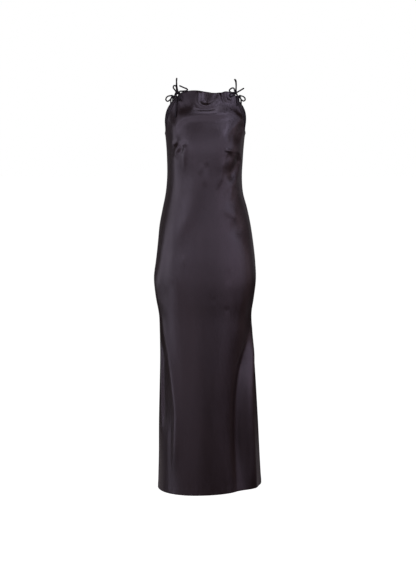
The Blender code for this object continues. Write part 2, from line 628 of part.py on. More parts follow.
def main():
    clear_scene()
    satin = material("satin", SATIN_COLOUR, SATIN_ROUGHNESS)
    cord = material("cord", CORD_COLOUR, CORD_ROUGHNESS)

    add_panel("front_panel", FRONT_EDGE_ROWS, FRONT_CORNERS, satin)
    add_panel("back_panel", BACK_EDGE_ROWS, BACK_CORNERS, satin)

    knots = {
        "right_front": knot_place(FRONT_CORNERS[0], FRONT_EDGE_ROWS, FRONT_CORNERS),
        "left_front": knot_place(FRONT_CORNERS[1], FRONT_EDGE_ROWS, FRONT_CORNERS),
        "left_back": knot_place(BACK_CORNERS[0], BACK_EDGE_ROWS, BACK_CORNERS),
        "right_back": knot_place(BACK_CORNERS[1], BACK_EDGE_ROWS, BACK_CORNERS),
    }
    front_lines = panel_edge_lines(FRONT_EDGE_ROWS, FRONT_CORNERS, right_first=True)
    back_lines = panel_edge_lines(BACK_EDGE_ROWS, BACK_CORNERS, right_first=False)
    for side in ("right", "left"):
        back_lines[side] = back_lines[side][::-1]
    add_edge_cords(front_lines, back_lines, knots, cord)

    add_bow("right_front", knots["right_front"], RIGHT_FRONT_STRANDS, cord)
    add_bow("left_front", knots["left_front"], LEFT_FRONT_STRANDS, cord)
    add_bow("right_back", knots["right_back"], RIGHT_BACK_STRANDS, cord)
    add_bow("left_back", knots["left_back"], LEFT_BACK_STRANDS, cord)

    right_strap = strap_line(knots["right_front"], RIGHT_STRAP_ROUTE, knots["right_back"])
    left_strap = strap_line(knots["left_front"], LEFT_STRAP_ROUTE, knots["left_back"])
    add_tube("right_strap", right_strap, CORD_RADIUS, cord)
    add_tube("left_strap", left_strap, CORD_RADIUS, cord)


main()
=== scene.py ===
import math

import bpy
import numpy as np
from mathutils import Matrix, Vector, noise


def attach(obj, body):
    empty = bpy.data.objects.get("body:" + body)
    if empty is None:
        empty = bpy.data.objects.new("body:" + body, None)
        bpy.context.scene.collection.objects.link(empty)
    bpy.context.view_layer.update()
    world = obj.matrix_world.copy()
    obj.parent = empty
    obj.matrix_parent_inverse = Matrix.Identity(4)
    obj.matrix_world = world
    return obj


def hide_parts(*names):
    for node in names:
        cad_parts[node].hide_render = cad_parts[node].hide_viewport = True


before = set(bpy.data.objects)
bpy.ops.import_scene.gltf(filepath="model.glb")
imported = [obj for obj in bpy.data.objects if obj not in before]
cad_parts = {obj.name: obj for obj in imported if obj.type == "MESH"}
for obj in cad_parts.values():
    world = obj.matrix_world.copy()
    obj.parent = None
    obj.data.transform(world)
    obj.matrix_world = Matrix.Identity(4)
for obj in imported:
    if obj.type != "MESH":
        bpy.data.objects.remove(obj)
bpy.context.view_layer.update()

# The dress hangs from its shoulder straps. Units are metres, +Z is up, the front faces -Y and the
# wearer's left is +X. A turn is the angle round the body from the centre front, in degrees.

# ---- Sizes of the dress ---------------------------------------------------------------------------
CLOTH_WALL = 0.0008  # the cloth that shows
CAD_WALL = 0.0015  # the solid it stands for
SEAM_GAP = 0.0003
HEM_HEIGHT = -1.350  # at the centre front and back
HEM_LIFT = 0.008  # so much higher at the left side seam, and lower at the right
CORD_RADIUS = 0.0023  # straps and ties
TAIL_TIP = 0.75  # a tail's cut end is drawn in to this share of its radius
EDGE_RADIUS = 0.0015  # the rolled cords along the cut edges
EDGE_SEAT = 0.8  # how far such a cord's middle lies past the edge, in its radii
KNOT_RADIUS = 0.0058
KNOT_SIZE = 0.00125  # the winding of a knot is three of these from its middle at most
KNOT_CORD_RADIUS = 0.95 * CORD_RADIUS
MILLIMETRE = 0.001
SEAM_TURN = 90.0  # the side seams, to the left and to the right

# The body's section at each height: half its width to the right and to the left, its depth to the
# front and to the back, and how square it is in front and behind, where 2 is an ellipse.
SECTION_COLUMNS = ("height", "right", "left", "front", "back", "front_square", "back_square")
SECTION_ROWS = (
    (-0.030, 0.1605, 0.1580, 0.0840, 0.0780, 2.20, 2.20),
    (-0.081, 0.1570, 0.1550, 0.0985, 0.0920, 2.20, 2.20),
    (-0.132, 0.1445, 0.1410, 0.1140, 0.1010, 2.30, 2.20),
    (-0.175, 0.1325, 0.1270, 0.1235, 0.1030, 2.45, 2.25),
    (-0.215, 0.1284, 0.1222, 0.1285, 0.1005, 2.55, 2.30),
    (-0.260, 0.1264, 0.1192, 0.1283, 0.0940, 2.50, 2.30),
    (-0.312, 0.1264, 0.1168, 0.1250, 0.0860, 2.35, 2.30),
    (-0.364, 0.1312, 0.1206, 0.1208, 0.0800, 2.25, 2.30),
    (-0.417, 0.1418, 0.1348, 0.1180, 0.0800, 2.20, 2.25),
    (-0.469, 0.1518, 0.1458, 0.1168, 0.0880, 2.20, 2.20),
    (-0.522, 0.1572, 0.1540, 0.1172, 0.1000, 2.25, 2.20),
    (-0.590, 0.1642, 0.1618, 0.1188, 0.1155, 2.30, 2.25),
    (-0.650, 0.1677, 0.1644, 0.1190, 0.1230, 2.30, 2.30),
    (-0.708, 0.1622, 0.1582, 0.1172, 0.1235, 2.30, 2.30),
    (-0.762, 0.1556, 0.1508, 0.1150, 0.1200, 2.30, 2.30),
    (-0.820, 0.1536, 0.1536, 0.1145, 0.1170, 2.25, 2.25),
    (-0.900, 0.1528, 0.1597, 0.1150, 0.1155, 2.20, 2.20),
    (-1.010, 0.1552, 0.1673, 0.1170, 0.1175, 2.15, 2.15),
    (-1.130, 0.1582, 0.1746, 0.1200, 0.1210, 2.10, 2.10),
    (-1.250, 0.1596, 0.1810, 0.1235, 0.1250, 2.10, 2.10),
    (-1.365, 0.1632, 0.1882, 0.1270, 0.1290, 2.10, 2.10),
)
# Broad soft swellings and hollows, with half their width across and up.
ROUND_COLUMNS = ("name", "turn", "height", "across", "up", "rise")
ROUND_ROWS = (
    ("right_cup", -29.0, -0.213, 0.038, 0.042, 0.0045),
    ("left_cup", 29.0, -0.215, 0.038, 0.042, 0.0045),
    ("below_right_cup", -24.0, -0.300, 0.040, 0.050, -0.0018),
    ("below_left_cup", 25.0, -0.300, 0.040, 0.050, -0.0018),
    ("right_shoulder_blade", -148.0, -0.135, 0.045, 0.050, 0.0035),
    ("left_shoulder_blade", 148.0, -0.135, 0.045, 0.050, 0.0035),
    ("belly", 0.0, -0.500, 0.060, 0.070, 0.0020),
    ("left_hip_dent", 58.0, -0.470, 0.022, 0.040, -0.0040),
)
# Folds and creases: a ridge or trough along a path of turns and heights. Widths and rise are in
# millimetres; the two widths lie left and right of someone who goes along the path outside the cloth.
# The fades are the shares of the length over which the ends die away. A path may run past the hem, so
# that its fold is still half open where the cloth ends.
FOLD_COLUMNS = ("name", "left_width", "right_width", "rise", "fade_in", "fade_out", "path")
FOLD_ROWS = (
    ("right_front_ridge", 14.0, 8.5, 4.6, 0.20, 0.25,
     ((-69.5, -0.750), (-63.5, -0.795), (-55.5, -0.870), (-48, -0.940), (-41.5, -1.020),
      (-38.5, -1.080), (-38.5, -1.150), (-40, -1.240), (-41, -1.320))),
    ("right_front_trough", 28.0, 6.0, -9.0, 0.26, 0.35,
     ((-82, -0.815), (-77, -0.870), (-73, -0.930), (-70, -0.990), (-67, -1.050), (-64, -1.110),
      (-61, -1.180))),
    ("left_front_trough", 24.0, 12.0, -10.0, 0.25, 0.42,
     ((80, -0.765), (74, -0.800), (66, -0.845), (55, -0.900), (46, -0.950), (41, -1.000),
      (38, -1.060), (37, -1.120), (36.5, -1.180), (36, -1.240), (35.5, -1.300), (35, -1.500))),
    ("left_front_slope", 26.0, 36.0, -13.0, 0.30, 0.42,
     ((70, -0.700), (62, -0.800), (50, -0.900), (43, -0.980), (39, -1.060), (37.5, -1.140),
      (37.5, -1.220), (37.5, -1.300), (37.5, -1.500))),
    ("left_front_ridge", 12.0, 22.0, 9.0, 0.20, 0.20,
     ((86, -0.785), (80, -0.830), (74, -0.885), (68, -0.940), (63, -1.000), (61, -1.070),
      (60, -1.140), (60, -1.220), (60, -1.420))),
    ("right_hip_hollow", 24.0, 20.0, -4.5, 0.35, 0.30,
     ((-44, -0.460), (-48, -0.560), (-52, -0.660), (-52, -0.760))),
    ("right_thigh_ridge", 20.0, 14.0, 4.6, 0.35, 0.45,
     ((-80, -0.560), (-80, -0.640), (-79, -0.720), (-76, -0.800))),
    ("right_back_ridge", 16.0, 14.0, 7.0, 0.30, 0.30,
     ((-104, -0.740), (-112, -0.860), (-118, -0.980), (-123, -1.110), (-127, -1.230), (-130, -1.330))),
    ("right_back_trough", 18.0, 16.0, -13.0, 0.30, 0.30,
     ((-112, -0.730), (-124, -0.860), (-132, -0.980), (-139, -1.110), (-144, -1.230), (-148, -1.330))),
    ("left_back_ridge", 14.0, 16.0, 7.0, 0.30, 0.30,
     ((104, -0.740), (111, -0.860), (117, -0.980), (121, -1.110), (124, -1.230), (125, -1.330))),
    ("left_back_trough", 16.0, 18.0, -12.0, 0.30, 0.30,
     ((111, -0.730), (123, -0.860), (131, -0.980), (137, -1.110), (140, -1.230), (142, -1.330))),
    ("centre_back_trough", 24.0, 24.0, -5.0, 0.40, 0.30,
     ((176, -0.760), (177, -0.900), (178, -1.050), (179, -1.200), (180, -1.340))),
    ("chest_arch", 16.0, 9.0, 5.6, 0.25, 0.35,
     ((-47.0, -0.200), (-44.0, -0.174), (-38.5, -0.150), (-31.0, -0.131), (-21.0, -0.119),
      (-8.0, -0.114), (6.0, -0.113), (20.0, -0.110), (34.0, -0.106), (45.0, -0.109))),
    ("left_arm_ridge", 11.0, 22.0, 5.0, 0.12, 0.35,
     ((49.0, -0.112), (44.5, -0.128), (37.5, -0.143), (29.0, -0.158), (23.5, -0.178), (24.5, -0.200),
      (29.0, -0.219))),
    ("right_waist_slope", 20.0, 34.0, 4.6, 0.25, 0.60,
     ((-13.0, -0.225), (-12.0, -0.280), (-13.5, -0.350), (-21.0, -0.420), (-35.0, -0.500),
      (-48.0, -0.610), (-58.0, -0.730))),
    ("left_waist_hollow", 13.0, 20.0, -7.0, 0.25, 0.35,
     ((66.0, -0.242), (58.0, -0.261), (50.0, -0.282), (42.0, -0.305), (34.0, -0.330))),
    ("left_waist_ridge", 12.0, 9.0, 3.2, 0.30, 0.40,
     ((62.0, -0.304), (52.0, -0.314), (43.0, -0.332), (35.0, -0.354), (28.0, -0.380))),
    ("lower_back_fold", 14.0, 14.0, -3.5, 0.40, 0.40,
     ((168, -0.300), (166, -0.370), (163, -0.430), (160, -0.500))),
)
# The cut edges at the neck and the armholes, which meet at the corners, where the ties are.
EDGE_COLUMNS = ("turn", "height")
FRONT_EDGE_ROWS = (
    (-90.0, -0.1770), (-78.0, -0.1715), (-68.0, -0.1600), (-58.0, -0.1380), (-51.5, -0.1200),
    (-44.0, -0.1000), (-37.0, -0.0780), (-32.0, -0.0600), (-30.0, -0.0500),
    (-24.0, -0.0435), (-17.0, -0.0405), (-10.0, -0.0398), (0.0, -0.0435), (8.0, -0.0480),
    (15.0, -0.0465), (22.0, -0.0430), (28.0, -0.0455), (33.0, -0.0510),
    (34.8, -0.0610), (38.5, -0.0780), (44.0, -0.1000), (51.5, -0.1200), (58.0, -0.1380),
    (68.0, -0.1600), (78.0, -0.1715), (90.0, -0.1770),
)
FRONT_CORNERS = (-30.0, 33.0)
BACK_EDGE_ROWS = (
    (90.0, -0.1770), (101.0, -0.1705), (108.0, -0.1560), (114.0, -0.1340), (121.5, -0.1110),
    (131.0, -0.0880), (137.0, -0.0750), (142.0, -0.0630),
    (160.0, -0.0605), (180.0, -0.0615), (200.0, -0.0605), (218.0, -0.0630),
    (223.0, -0.0750), (229.0, -0.0880), (238.5, -0.1110), (246.0, -0.1340), (252.0, -0.1560),
    (259.0, -0.1705), (270.0, -0.1770),
)
BACK_CORNERS = (142.0, 218.0)

# The strands of each tie: the direction in which one leaves its knot, its route in millimetres from
# the knot (across, out from the cloth, up) and, for a loop, the side on which it comes back.
STRAND_COLUMNS = ("name", "leaves", "route", "returns")
RIGHT_FRONT_STRANDS = (
    ("loop_out", (-0.88, 0.10, 0.46),
     ((-11.4, 2.0, 9.4), (-15.6, 2.0, 16.0), (-14.2, 2.0, 21.2), (-9.4, 2.4, 22.0),
      (-5.6, 3.4, 17.0)), (-0.25, 0.50, 0.83)),
    ("loop_down", (0.45, 0.87, 0.20),
     ((4.4, 12.6, -5.0), (4.8, 14.6, -13.0), (4.2, 13.6, -21.0), (3.0, 9.6, -25.0),
      (2.2, 6.4, -20.0), (1.8, 5.2, -12.0)), (0.20, 0.66, -0.72)),
    ("tail_in", (0.82, 0.15, 0.55),
     ((11.0, 4.2, 4.4), (18.5, 4.6, 5.0), (25.0, 4.4, 5.8), (29.4, 3.0, 8.6),
      (26.4, 1.4, 12.4), (20.0, 0.6, 14.6), (12.6, 0.4, 18.0), (3.6, 0.6, 21.8)), None),
    ("tail_down", (-0.60, 0.65, -0.46),
     ((-6.0, 5.0, -9.0), (-5.6, 5.2, -19.0), (-5.6, 5.2, -33.0), (-6.8, 5.2, -50.0),
      (-9.4, 5.4, -76.0)), None),
)
LEFT_FRONT_STRANDS = (
    ("loop_in", (-0.68, 0.72, 0.15),
     ((-9.5, 5.6, 0.6), (-15.0, 4.4, -2.2), (-17.6, 3.8, -7.0), (-14.2, 4.0, -11.0),
      (-8.4, 5.0, -9.0)), (-0.20, 0.85, -0.50)),
    ("loop_up", (-0.75, -0.65, 0.10),
     ((-10.5, -5.6, 1.4), (-16.6, -5.6, 3.6), (-19.2, -4.0, 7.8), (-16.0, -1.4, 12.0),
      (-10.4, 0.8, 15.4), (-5.4, 2.6, 14.8)), (-0.35, 0.35, 0.87)),
    ("tail_out", (0.88, 0.25, 0.40),
     ((9.0, 5.4, 4.4), (14.0, 9.8, 7.2), (19.6, 15.0, 10.4), (26.2, 20.8, 14.4)), None),
    ("tail_down", (0.60, 0.60, -0.53),
     ((5.6, 4.8, -10.0), (5.8, 4.2, -18.0), (6.6, 3.6, -28.0), (8.2, 3.4, -40.0)), None),
)
RIGHT_BACK_STRANDS = (
    ("loop_out", (-0.75, 0.10, 0.65),
     ((-11.4, 1.4, 4.6), (-18.4, 1.6, 3.2), (-25.0, 1.6, -2.2), (-26.4, 1.4, -9.2),
      (-21.4, 1.4, -13.4), (-14.0, 1.6, -9.6)), (-0.93, 0.20, -0.30)),
    ("loop_in", (0.70, 0.60, 0.38),
     ((10.0, 6.4, 1.8), (16.6, 4.8, -1.6), (20.0, 3.6, -7.6), (17.0, 3.8, -13.0),
      (10.0, 5.6, -11.4)), (0.25, 0.90, -0.36)),
    ("tail_long", (-0.45, 0.60, -0.66),
     ((-4.4, 4.8, -12.0), (-4.4, 4.0, -21.0), (-3.4, 4.0, -34.0), (-2.0, 4.6, -52.0),
      (-1.2, 4.8, -66.0), (-0.6, 4.8, -80.0)), None),
    ("tail_short", (-0.45, 0.75, 0.48),
     ((-6.4, 8.8, 2.4), (-9.6, 9.4, -4.6), (-10.8, 7.2, -15.0), (-10.8, 4.6, -28.0),
      (-10.2, 4.4, -43.0), (-10.4, 4.4, -58.0)), None),
)
LEFT_BACK_STRANDS = (
    ("loop_out", (0.75, 0.10, 0.65),
     ((11.0, 1.4, 4.0), (17.4, 1.6, 2.2), (23.2, 1.6, -2.6), (24.4, 1.4, -8.8),
      (19.8, 1.4, -12.6), (13.2, 1.6, -9.2)), (0.93, 0.20, -0.30)),
    ("loop_in", (-0.70, 0.60, 0.38),
     ((-10.2, 6.4, 2.0), (-17.4, 4.8, -1.0), (-21.0, 3.6, -7.0), (-18.0, 3.8, -12.6),
      (-10.4, 5.6, -11.4)), (-0.25, 0.90, -0.36)),
    ("tail_long", (0.45, 0.60, -0.66),
     ((4.4, 4.8, -12.0), (4.2, 4.0, -21.0), (2.8, 4.0, -34.0), (1.4, 4.6, -50.0),
      (0.6, 4.8, -62.0), (-0.8, 4.8, -74.0)), None),
    ("tail_short", (0.45, 0.75, 0.48),
     ((6.6, 8.8, 2.6), (10.0, 9.4, -4.2), (11.4, 7.2, -14.0), (11.6, 4.6, -26.0),
      (11.8, 4.4, -40.0), (12.6, 4.4, -53.0)), None),
)
TIE_REACH = 0.104  # past this distance from the centre a strand lies over the arm, not on the cloth
# Each strap's route over the shoulder, from its front knot to its back knot.
RIGHT_STRAP_ROUTE = (
    (-0.0915, -0.0640, -0.0290), (-0.0932, -0.0470, -0.0140), (-0.0942, -0.0250, -0.0025),
    (-0.0938, 0.0000, 0.0015), (-0.0950, 0.0230, -0.0045), (-0.0962, 0.0430, -0.0185),
    (-0.0974, 0.0590, -0.0390),
)
LEFT_STRAP_ROUTE = (
    (0.0952, -0.0640, -0.0310), (0.0960, -0.0470, -0.0175), (0.0956, -0.0250, -0.0060),
    (0.0925, 0.0000, -0.0020), (0.0962, 0.0230, -0.0085), (0.0980, 0.0430, -0.0220),
    (0.0988, 0.0590, -0.0410),
)

# ---- Finer creases, in the same form as the folds -------------------------------------------------
CREASE_ROWS = (
    ("neck_u_fold", 5.0, 4.0, 3.4, 0.05, 0.10,
     ((-5.8, -0.040), (-7.5, -0.060), (-7.0, -0.077), (-2.2, -0.0865), (4.2, -0.0845),
      (9.5, -0.0735), (12.8, -0.056), (14.2, -0.043))),
    ("neck_pocket", 6.0, 6.0, -3.0, 0.10, 0.40,
     ((-0.5, -0.040), (-1.0, -0.0625), (0.8, -0.075), (4.0, -0.0695))),
    ("neck_pocket_lip", 2.8, 2.8, 1.8, 0.10, 0.50, ((8.5, -0.044), (5.3, -0.0605), (2.0, -0.0695))),
    ("under_neck_u", 3.0, 5.0, -1.7, 0.35, 0.35,
     ((-14.0, -0.092), (-5.0, -0.0960), (3.0, -0.095), (13.0, -0.089))),
    ("left_corner_hook", 3.2, 3.2, 2.0, 0.05, 0.25,
     ((19.5, -0.041), (21.2, -0.061), (24.5, -0.0705), (29.0, -0.065))),
    ("left_corner_ray", 3.2, 3.2, 1.5, 0.05, 0.60, ((12.8, -0.044), (15.3, -0.0665), (16.5, -0.083))),
    ("left_corner_shadow", 3.0, 3.0, -1.8, 0.05, 0.50,
     ((16.3, -0.043), (18.0, -0.0665), (19.7, -0.079))),
    ("right_chest_hollow", 14.0, 12.0, -2.4, 0.30, 0.40,
     ((-36.0, -0.090), (-28.0, -0.088), (-20.0, -0.086), (-12.0, -0.086))),
    ("left_arm_hollow", 12.0, 12.0, -3.0, 0.25, 0.45,
     ((62.0, -0.142), (55.0, -0.162), (48.0, -0.186), (45.0, -0.212))),
    ("left_dart_fold", 3.4, 5.0, 2.2, 0.25, 0.60,
     ((21.7, -0.2215), (27.0, -0.2235), (33.0, -0.2255), (42.0, -0.2280))),
    ("left_dart_point", 2.8, 2.4, -0.7, 0.25, 0.55, ((19.0, -0.2270), (26.2, -0.2295), (38.2, -0.2325))),
    ("left_dart_seam", 2.4, 2.0, -0.3, 0.30, 0.30,
     ((28.2, -0.2300), (36.2, -0.2325), (52.8, -0.2375), (69.0, -0.243), (88.0, -0.2500))),
    ("under_left_dart", 8.0, 9.0, -1.8, 0.25, 0.50, ((27.0, -0.2365), (36.0, -0.245), (46.0, -0.254))),
    ("right_cup_tuck_a", 6.0, 4.6, -1.8, 0.35, 0.35,
     ((-49.5, -0.2105), (-45.5, -0.2050), (-41.5, -0.1995), (-37.0, -0.1960))),
    ("right_cup_tuck_b", 6.0, 4.6, -1.7, 0.35, 0.35,
     ((-34.5, -0.2125), (-30.0, -0.2075), (-25.5, -0.2035), (-20.0, -0.1995))),
    ("right_cup_fold_a", 6.0, 6.5, 3.0, 0.30, 0.45,
     ((-31.0, -0.206), (-37.0, -0.216), (-43.0, -0.235), (-46.0, -0.256))),
    ("right_cup_tuck_c", 4.5, 4.5, -2.2, 0.25, 0.50, ((-26.5, -0.211), (-31.0, -0.222), (-35.0, -0.241))),
    ("right_cup_fold_b", 5.5, 5.0, 2.8, 0.20, 0.60,
     ((-21.5, -0.203), (-25.0, -0.222), (-26.5, -0.2495), (-29.0, -0.2915))),
    ("right_dart_seam", 1.8, 2.0, -0.5, 0.25, 0.30,
     ((-24.0, -0.2270), (-36.0, -0.2320), (-52.0, -0.2375), (-70.0, -0.2440), (-88.0, -0.2500))),
    ("centre_crease_a", 4.2, 4.2, 0.9, 0.35, 0.45, ((-2.2, -0.263), (-4.5, -0.2795), (-6.2, -0.3045))),
    ("centre_crease_b", 4.2, 4.2, 0.9, 0.35, 0.45, ((-0.7, -0.288), (-1.0, -0.3155), (-0.7, -0.343))),
    ("centre_crease_c", 2.8, 2.8, -0.9, 0.40, 0.40, ((0.7, -0.260), (0.5, -0.277), (0.4, -0.292))),
    ("left_waist_ray_a", 6.0, 7.0, 2.4, 0.30, 0.40,
     ((22.5, -0.2415), (21.0, -0.277), (19.8, -0.313), (12.5, -0.354))),
    ("left_waist_ray_b", 6.0, 6.0, 1.2, 0.30, 0.40, ((44.0, -0.348), (38.0, -0.372), (36.0, -0.392))),
    ("left_waist_ray_c", 5.0, 5.0, -1.2, 0.30, 0.40, ((43.0, -0.335), (34.0, -0.352), (30.0, -0.376))),
    ("left_hip_ray", 15.0, 11.0, 2.4, 0.35, 0.35, ((18.0, -0.402), (33.0, -0.424), (50.0, -0.440))),
    ("left_hip_hollow", 18.0, 16.0, -3.4, 0.40, 0.45, ((24.0, -0.462), (41.0, -0.478), (60.0, -0.486))),
    ("right_hip_streak", 2.8, 2.8, 0.8, 0.35, 0.45, ((-23.7, -0.5535), (-22.2, -0.603))),
    ("thigh_crease_a", 4.0, 4.0, -0.5, 0.40, 0.40, ((6.3, -0.690), (6.5, -0.712))),
    ("thigh_crease_b", 5.0, 5.0, -0.7, 0.35, 0.40, ((24.0, -0.597), (23.2, -0.6285), (21.5, -0.6595))),
    ("thigh_crease_c", 6.0, 6.0, -0.7, 0.40, 0.40, ((21.7, -0.726), (23.7, -0.7485))),
    ("back_neck_drop", 9.0, 9.0, 1.8, 0.30, 0.30,
     ((150.0, -0.090), (165.0, -0.104), (182.0, -0.109), (200.0, -0.102), (212.0, -0.090))),
    ("back_ray_right", 4.0, 4.0, 1.2, 0.10, 0.60, ((214.0, -0.070), (207.0, -0.095), (202.0, -0.130))),
    ("back_ray_left", 4.0, 4.0, 1.2, 0.10, 0.60, ((146.0, -0.070), (152.0, -0.095), (156.0, -0.125))),
    ("back_arm_streak_left", 6.0, 6.0, 1.8, 0.20, 0.50,
     ((122.0, -0.125), (128.0, -0.150), (136.0, -0.178))),
    ("back_arm_streak_right", 6.0, 6.0, 1.8, 0.20, 0.50,
     ((238.0, -0.125), (233.0, -0.152), (224.0, -0.182))),
    ("back_waist_a", 6.0, 6.0, -1.8, 0.30, 0.40, ((112.0, -0.300), (126.0, -0.318), (142.0, -0.326))),
    ("back_waist_b", 5.0, 5.0, 1.4, 0.30, 0.40, ((110.0, -0.322), (124.0, -0.341), (138.0, -0.352))),
    ("back_waist_c", 6.0, 6.0, -1.8, 0.30, 0.40, ((250.0, -0.310), (236.0, -0.330), (220.0, -0.340))),
    ("back_waist_d", 5.0, 5.0, 1.2, 0.30, 0.40, ((252.0, -0.345), (238.0, -0.360), (226.0, -0.372))),
    ("back_long_a", 5.0, 5.0, 1.0, 0.35, 0.45, ((170.0, -0.200), (171.0, -0.250), (169.0, -0.300))),
    ("back_long_b", 6.0, 6.0, -1.2, 0.35, 0.45, ((192.0, -0.180), (190.0, -0.240), (193.0, -0.290))),
    ("seat_ray_a", 8.0, 8.0, 1.4, 0.35, 0.40, ((150.0, -0.700), (158.0, -0.735), (168.0, -0.755))),
    ("seat_ray_b", 8.0, 8.0, 1.4, 0.35, 0.40, ((212.0, -0.705), (203.0, -0.740), (192.0, -0.758))),
)
DRIFT_HEIGHT = 0.0007  # gentle uneven drift of the cloth, mostly up and down
DRIFT_RADIUS = 0.14
DRIFT_BROAD = (16.0, 3.4)  # waves to a metre, across and up
DRIFT_FINE = (46.0, 7.5)
DRIFT_FADE = 9.0  # degrees from a side seam over which the drift dies away
SEAM_RADIUS = 0.157
FLAT_RADIUS = 0.147  # lays the panels out flat for the pattern of the cut
SEAM_DEPTH = 0.0005
SEAM_HALF_WIDTH = 0.0022
HEM_BAND = 0.014  # the turned hem, up from the edge
HEM_THICKER = 0.0003
HEM_BAND_EDGE = 0.002
STITCH_DEPTH = 0.0004
STITCH_HALF_WIDTH = 0.0016
PUCKER_HEIGHT = 0.00035
PUCKER_REACH = 0.010

# ---- Fineness of the meshes -----------------------------------------------------------------------
FOLD_SAMPLES = 56
METRES_PER_DEGREE = 0.0024  # round the body, to space the samples along a path
SMALLEST_RADIUS = 0.11  # of the body, to find the points that a fold can reach
FOLD_REACH = 4  # in widths
ARMHOLE_COLUMNS = 38
NECK_COLUMNS = 78
SHAPED_TO = -0.262  # above this height the rows of faces follow the cut edge, below it the hem
SHAPED_ROWS = 84
HANGING_ROWS = 140
CORD_SIDES = 14
STRAND_SPACING = 0.0012
STRAP_SPACING = 0.0025
KNOT_STEPS = 96
SMALL_TURN = 0.05  # steps for the slopes of the cloth
SMALL_HEIGHT = 0.0005


# ---- Geometry -------------------------------------------------------------------------------------
def named_columns(names, rows):
    return {name: np.array([row[index] for row in rows], float) for index, name in enumerate(names)}


def smooth_curve(at, knots, values):
    slopes = np.gradient(values, knots, axis=0)
    index = np.clip(np.searchsorted(knots, at) - 1, 0, len(knots) - 2)
    step = knots[index + 1] - knots[index]
    share = (at - knots[index]) / step
    if values.ndim > 1:
        share, step = share[:, None], step[:, None]
    rest = 1 - share
    return (
        values[index] * rest * rest * (1 + 2 * share)
        + values[index + 1] * share * share * (1 + 2 * rest)
        + slopes[index] * step * share * rest * rest
        - slopes[index + 1] * step * share * share * rest
    )


def smooth_step(values):
    values = np.clip(values, 0.0, 1.0)
    return values * values * (3 - 2 * values)


SECTIONS = named_columns(SECTION_COLUMNS, SECTION_ROWS)
ROUNDS = [dict(zip(ROUND_COLUMNS, row)) for row in ROUND_ROWS]


def section_at(name, heights):
    return smooth_curve(-heights, -SECTIONS["height"], SECTIONS[name])


def turn_between(turns, other):
    return (turns - other + 180.0) % 360.0 - 180.0


def plain_tube(turns, heights):
    """The body of the dress without folds: a rounded section at each height."""
    angle = np.radians(turns)
    sine, cosine = np.sin(angle), np.cos(angle)
    forward = smooth_step(cosine * 2.0 + 0.5)
    square = (
        section_at("front_square", heights) * forward
        + section_at("back_square", heights) * (1 - forward)
    )
    half_width = np.where(sine > 0, section_at("left", heights), section_at("right", heights))
    depth = np.where(cosine > 0, section_at("front", heights), section_at("back", heights))
    power = 2.0 / square
    across = half_width * np.sign(sine) * np.abs(sine) ** power
    back = -depth * np.sign(cosine) * np.abs(cosine) ** power
    return np.stack([across, back, heights], axis=-1)


def radius_at(heights):
    return (section_at("left", heights) + section_at("front", heights)) / 2


def fold_from(row):
    """A row of the table, with its path as closely spaced points."""
    fold = dict(zip(FOLD_COLUMNS, row))
    points = np.array(fold["path"], float)
    steps = np.diff(points, axis=0) * np.array([METRES_PER_DEGREE, 1.0])
    lengths = np.concatenate([[0.0], np.cumsum(np.linalg.norm(steps, axis=1))])
    at = np.linspace(0.0, lengths[-1], FOLD_SAMPLES)
    fold["points"] = smooth_curve(at, lengths, points)
    return fold


FOLDS = [fold_from(row) for row in FOLD_ROWS]
CREASES = [fold_from(row) for row in CREASE_ROWS]


def rounds_relief(turns, heights):
    radius = radius_at(heights)
    total = np.zeros_like(turns)
    for item in ROUNDS:
        across = np.radians(turn_between(turns, item["turn"])) * radius / item["across"]
        upward = (heights - item["height"]) / item["up"]
        total += item["rise"] * np.exp(-(across**2 + upward**2) / 2)
    return total


def folds_relief(folds, turns, heights):
    """How far the folds raise the cloth: for each, a rounded profile square to its path."""
    total = np.zeros_like(turns)
    radius = radius_at(heights)
    for fold in folds:
        widest = max(fold["left_width"], fold["right_width"]) * MILLIMETRE
        low, high = fold["points"].min(0), fold["points"].max(0)
        middle, half = (low[0] + high[0]) / 2, (high[0] - low[0]) / 2
        near = (
            (np.abs(turn_between(turns, middle)) < half + FOLD_REACH * np.degrees(widest / SMALLEST_RADIUS))
            & (heights > low[1] - FOLD_REACH * widest)
            & (heights < high[1] + FOLD_REACH * widest)
        )
        if not near.any():
            continue
        round_it = radius[near][:, None]
        across = np.radians(turn_between(turns[near][:, None], fold["points"][None, :, 0])) * round_it
        upward = heights[near][:, None] - fold["points"][None, :, 1]
        nearest = (across**2 + upward**2).argmin(1)
        rows = np.arange(len(nearest))
        across, upward = across[rows, nearest], upward[rows, nearest]
        heading = np.gradient(fold["points"], axis=0)[nearest]
        ahead, rising = np.radians(heading[:, 0]) * round_it[:, 0], heading[:, 1]
        stretch = np.hypot(ahead, rising)
        first_or_last = (nearest == 0) | (nearest == FOLD_SAMPLES - 1)
        past = np.clip((across * ahead + upward * rising) / stretch**2, -0.5, 0.5)
        past = np.where(first_or_last, 0.0, past)
        across, upward = across - past * ahead, upward - past * rising
        side = (ahead * upward - rising * across) / stretch
        share = smooth_step(side / (0.5 * widest) + 0.5)
        width = (fold["left_width"] * share + fold["right_width"] * (1 - share)) * MILLIMETRE
        along = (nearest + past) / (FOLD_SAMPLES - 1)
        fade = smooth_step(along / fold["fade_in"]) * smooth_step((1 - along) / fold["fade_out"])
        profile = np.exp(-(across**2 + upward**2) / (2 * width**2))
        total[near] += fold["rise"] * MILLIMETRE * fade * profile
    return total


def from_seam(turns):
    """Degrees from the nearest side seam."""
    return turn_between(np.mod(turns, 2 * SEAM_TURN), SEAM_TURN)


